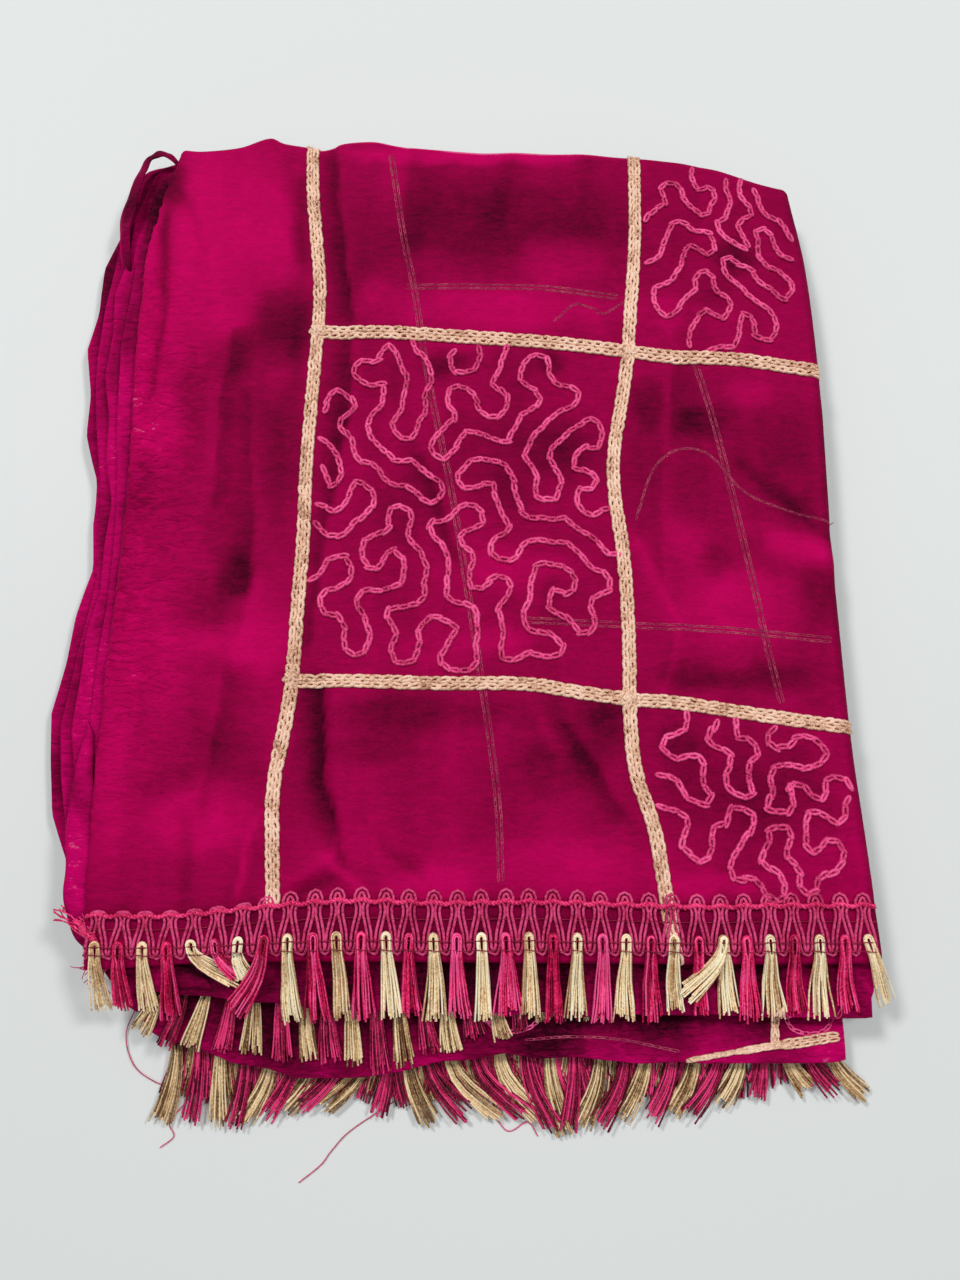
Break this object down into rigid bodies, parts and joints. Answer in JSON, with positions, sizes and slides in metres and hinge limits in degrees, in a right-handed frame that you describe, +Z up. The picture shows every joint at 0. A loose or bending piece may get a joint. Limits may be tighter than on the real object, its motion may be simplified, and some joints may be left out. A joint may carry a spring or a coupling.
{
  "type": "folded dupatta stole",
  "caption": "Sheer magenta crepe stole folded flat, with gold stitched squares, a lace hem and gold and pink tassels.",
  "frame": {"origin": "a point near the middle of the flat underside of the folded bundle, on the table", "axes": "+X along the tasselled hem to the right, +Y from the hem to the back fold, +Z up out of the table"},
  "size_m": [0.3311, 0.4247, 0.0267],
  "materials": {
    "crepe": "sheer crepe georgette, soft sheen",
    "gold_thread": "gold thread, chain stitched and in tassels",
    "pink_thread": "magenta viscose thread, crocheted and in tassels"
  },
  "bodies": {
    "root": {"folded_layers": "crepe", "top_layer": "crepe", "gold_braid_left": "gold_thread", "gold_braid_middle": "gold_thread", "gold_braid_lower_left": "gold_thread", "gold_braid_lower_right": "gold_thread", "gold_braid_upper_left": "gold_thread", "gold_braid_upper_right": "gold_thread", "hem_lace": "pink_thread", "tassels_top_gold": "gold_thread", "tassels_top_pink": "pink_thread", "tassels_middle_gold": "gold_thread", "tassels_middle_pink": "pink_thread", "tassels_low_gold": "gold_thread", "tassels_low_pink": "pink_thread"}
  },
  "joints": []
}
